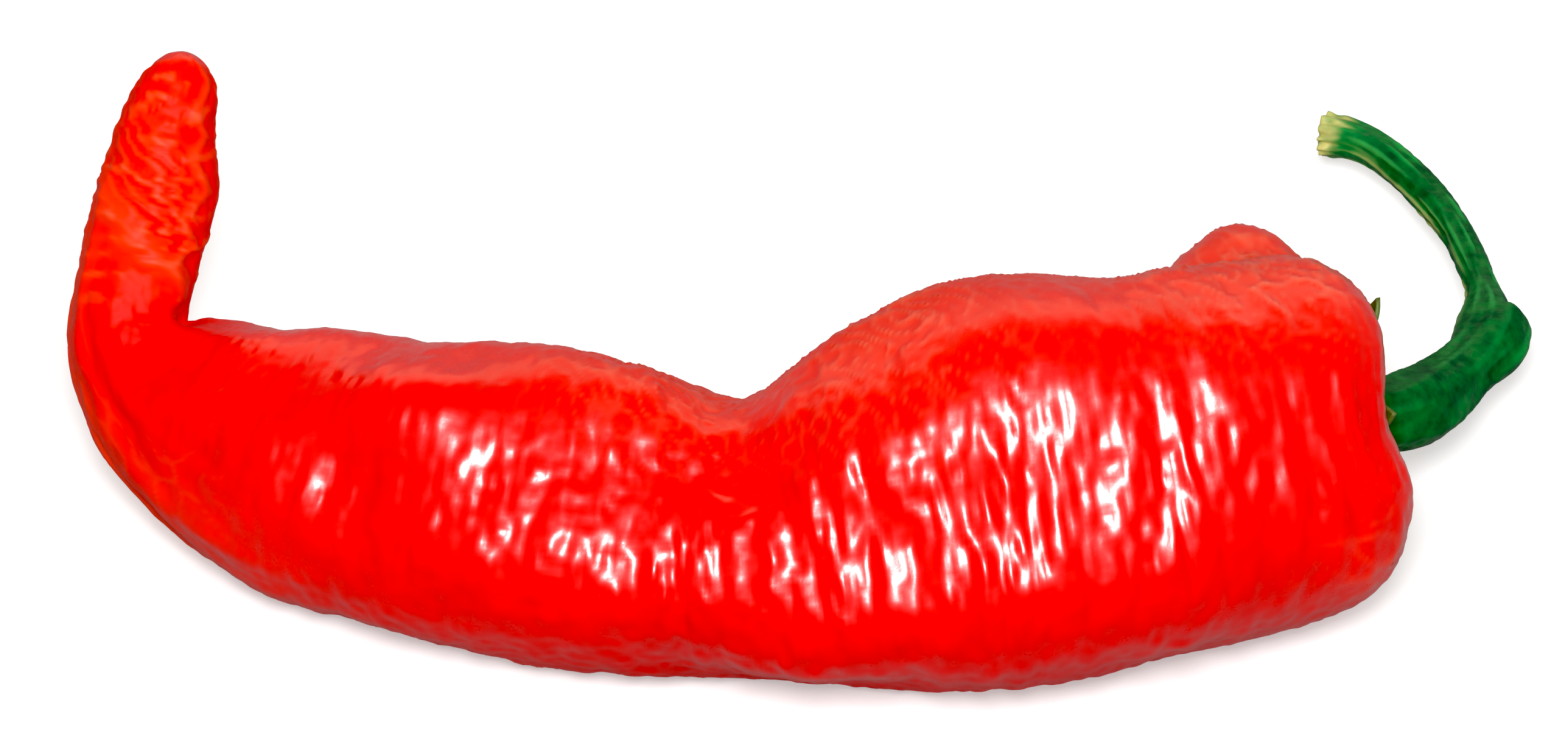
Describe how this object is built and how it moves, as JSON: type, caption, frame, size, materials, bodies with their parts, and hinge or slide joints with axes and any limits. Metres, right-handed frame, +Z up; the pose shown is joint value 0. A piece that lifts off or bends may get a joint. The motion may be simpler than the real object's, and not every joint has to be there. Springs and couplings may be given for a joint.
{
  "type": "chilli pepper",
  "caption": "Large red chilli pepper lying on its side: waisted, wrinkled glossy pod with a crooked tip, green calyx and a bent stalk.",
  "frame": {"origin": "under the middle of the whole pepper's box, on the surface that the pod lies on", "axes": "+Z up, +X along the pepper from the crooked tip to the stalk end, +Y towards the back, where the stalk ends"},
  "size_m": [0.187, 0.1086, 0.0515],
  "materials": {
    "pod_skin": "thin waxy red skin, glossy and wrinkled",
    "calyx_green": "leathery dark green, browned at the rim",
    "stem_green": "satin dark green with lengthwise ribs and a pale broken end"
  },
  "bodies": {
    "root": {"pod": "pod_skin", "calyx": "calyx_green", "stem": "stem_green"}
  },
  "joints": []
}
